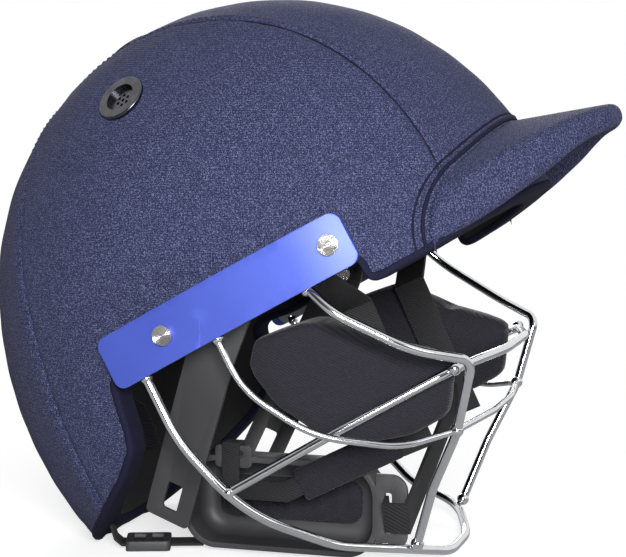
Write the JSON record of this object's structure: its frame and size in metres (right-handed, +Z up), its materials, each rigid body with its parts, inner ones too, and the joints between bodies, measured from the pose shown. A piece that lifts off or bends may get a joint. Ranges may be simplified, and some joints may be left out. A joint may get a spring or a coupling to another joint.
{
  "type": "cricket helmet",
  "caption": "Fabric-covered cricket helmet with a peak, a wire face guard on blue side plates, cheek pads, hanger tabs and a swinging chin harness.",
  "frame": {"origin": "on the table under the middle of the helmet's length and width, with the helmet standing tipped back on its nape rim and the lowest wire of its guard", "axes": "+X to the wearer's front, along the peak; +Y to the wearer's left; +Z up from the table"},
  "size_m": [0.2868, 0.2214, 0.247],
  "materials": {
    "shell": "satin",
    "cover": "fine knit",
    "trim": "folded knit",
    "foam": "closed-cell foam",
    "pads": "brushed knit",
    "dark_chrome": "dark polished",
    "plate_blue": "satin",
    "steel": "brushed",
    "screw": "turned",
    "wire": "polished",
    "grey_plastic": "matte",
    "webbing": "woven"
  },
  "bodies": {
    "helmet": {"hard_shell": "shell", "cover_side_left": "cover", "cover_side_right": "cover", "cover_centre_panel": "cover", "cover_back_panel": "cover", "cover_brow": "cover", "peak_cover": "cover", "peak_piping": "trim", "rim_binding": "trim", "liner_front": "foam", "liner_crown": "foam", "liner_rear": "foam", "liner_right": "foam", "liner_left": "foam", "crown_pad": "pads", "brow_pad": "pads", "rear_pad": "pads", "side_pad_left": "pads", "side_pad_right": "pads", "vent_eyelets": "dark_chrome", "vent_retainers": "dark_chrome", "side_plate_left": "plate_blue", "side_plate_right": "plate_blue", "mount_strip_left": "steel", "mount_strip_right": "steel", "plate_screws": "screw", "plate_nuts": "steel", "grille_lower_wire": "wire", "grille_middle_wire": "wire", "grille_thin_wire": "wire", "grille_upright_left": "wire", "grille_upright_right": "wire", "grille_welds": "wire", "cheek_pad_left": "pads", "cheek_pad_right": "pads", "tab_rivets": "screw", "strap_rivets": "screw", "rear_strap": "webbing"},
    "chin_harness": {"chin_strap_left": "webbing", "chin_strap_right": "webbing", "strap_sleeve": "pads", "chin_cup": "grey_plastic", "chin_cup_pad": "pads"},
    "tab_left": {"hanger_tab_left": "grey_plastic"},
    "tab_right": {"hanger_tab_right": "grey_plastic"},
    "buckle": {"ladder_lock": "grey_plastic"}
  },
  "joints": [
    {"name": "harness_swing", "type": "hinge", "parent": "helmet", "child": "chin_harness", "pos_m": [0.02706, 0, 0.13612], "axis": [0, 1, 0], "range_deg": [0, 25]},
    {"name": "tab_left_swing", "type": "hinge", "parent": "helmet", "child": "tab_left", "pos_m": [-0.00752, 0.087, 0.11416], "axis": [0, 1, 0], "range_deg": [0, 12]},
    {"name": "tab_right_swing", "type": "hinge", "parent": "helmet", "child": "tab_right", "pos_m": [-0.00752, -0.087, 0.11416], "axis": [0, 1, 0], "range_deg": [0, 12]},
    {"name": "buckle_slide", "type": "slide", "parent": "helmet", "child": "buckle", "axis": [0.9466, 0.3223, 0], "range_m": [0, 0.01]}
  ]
}
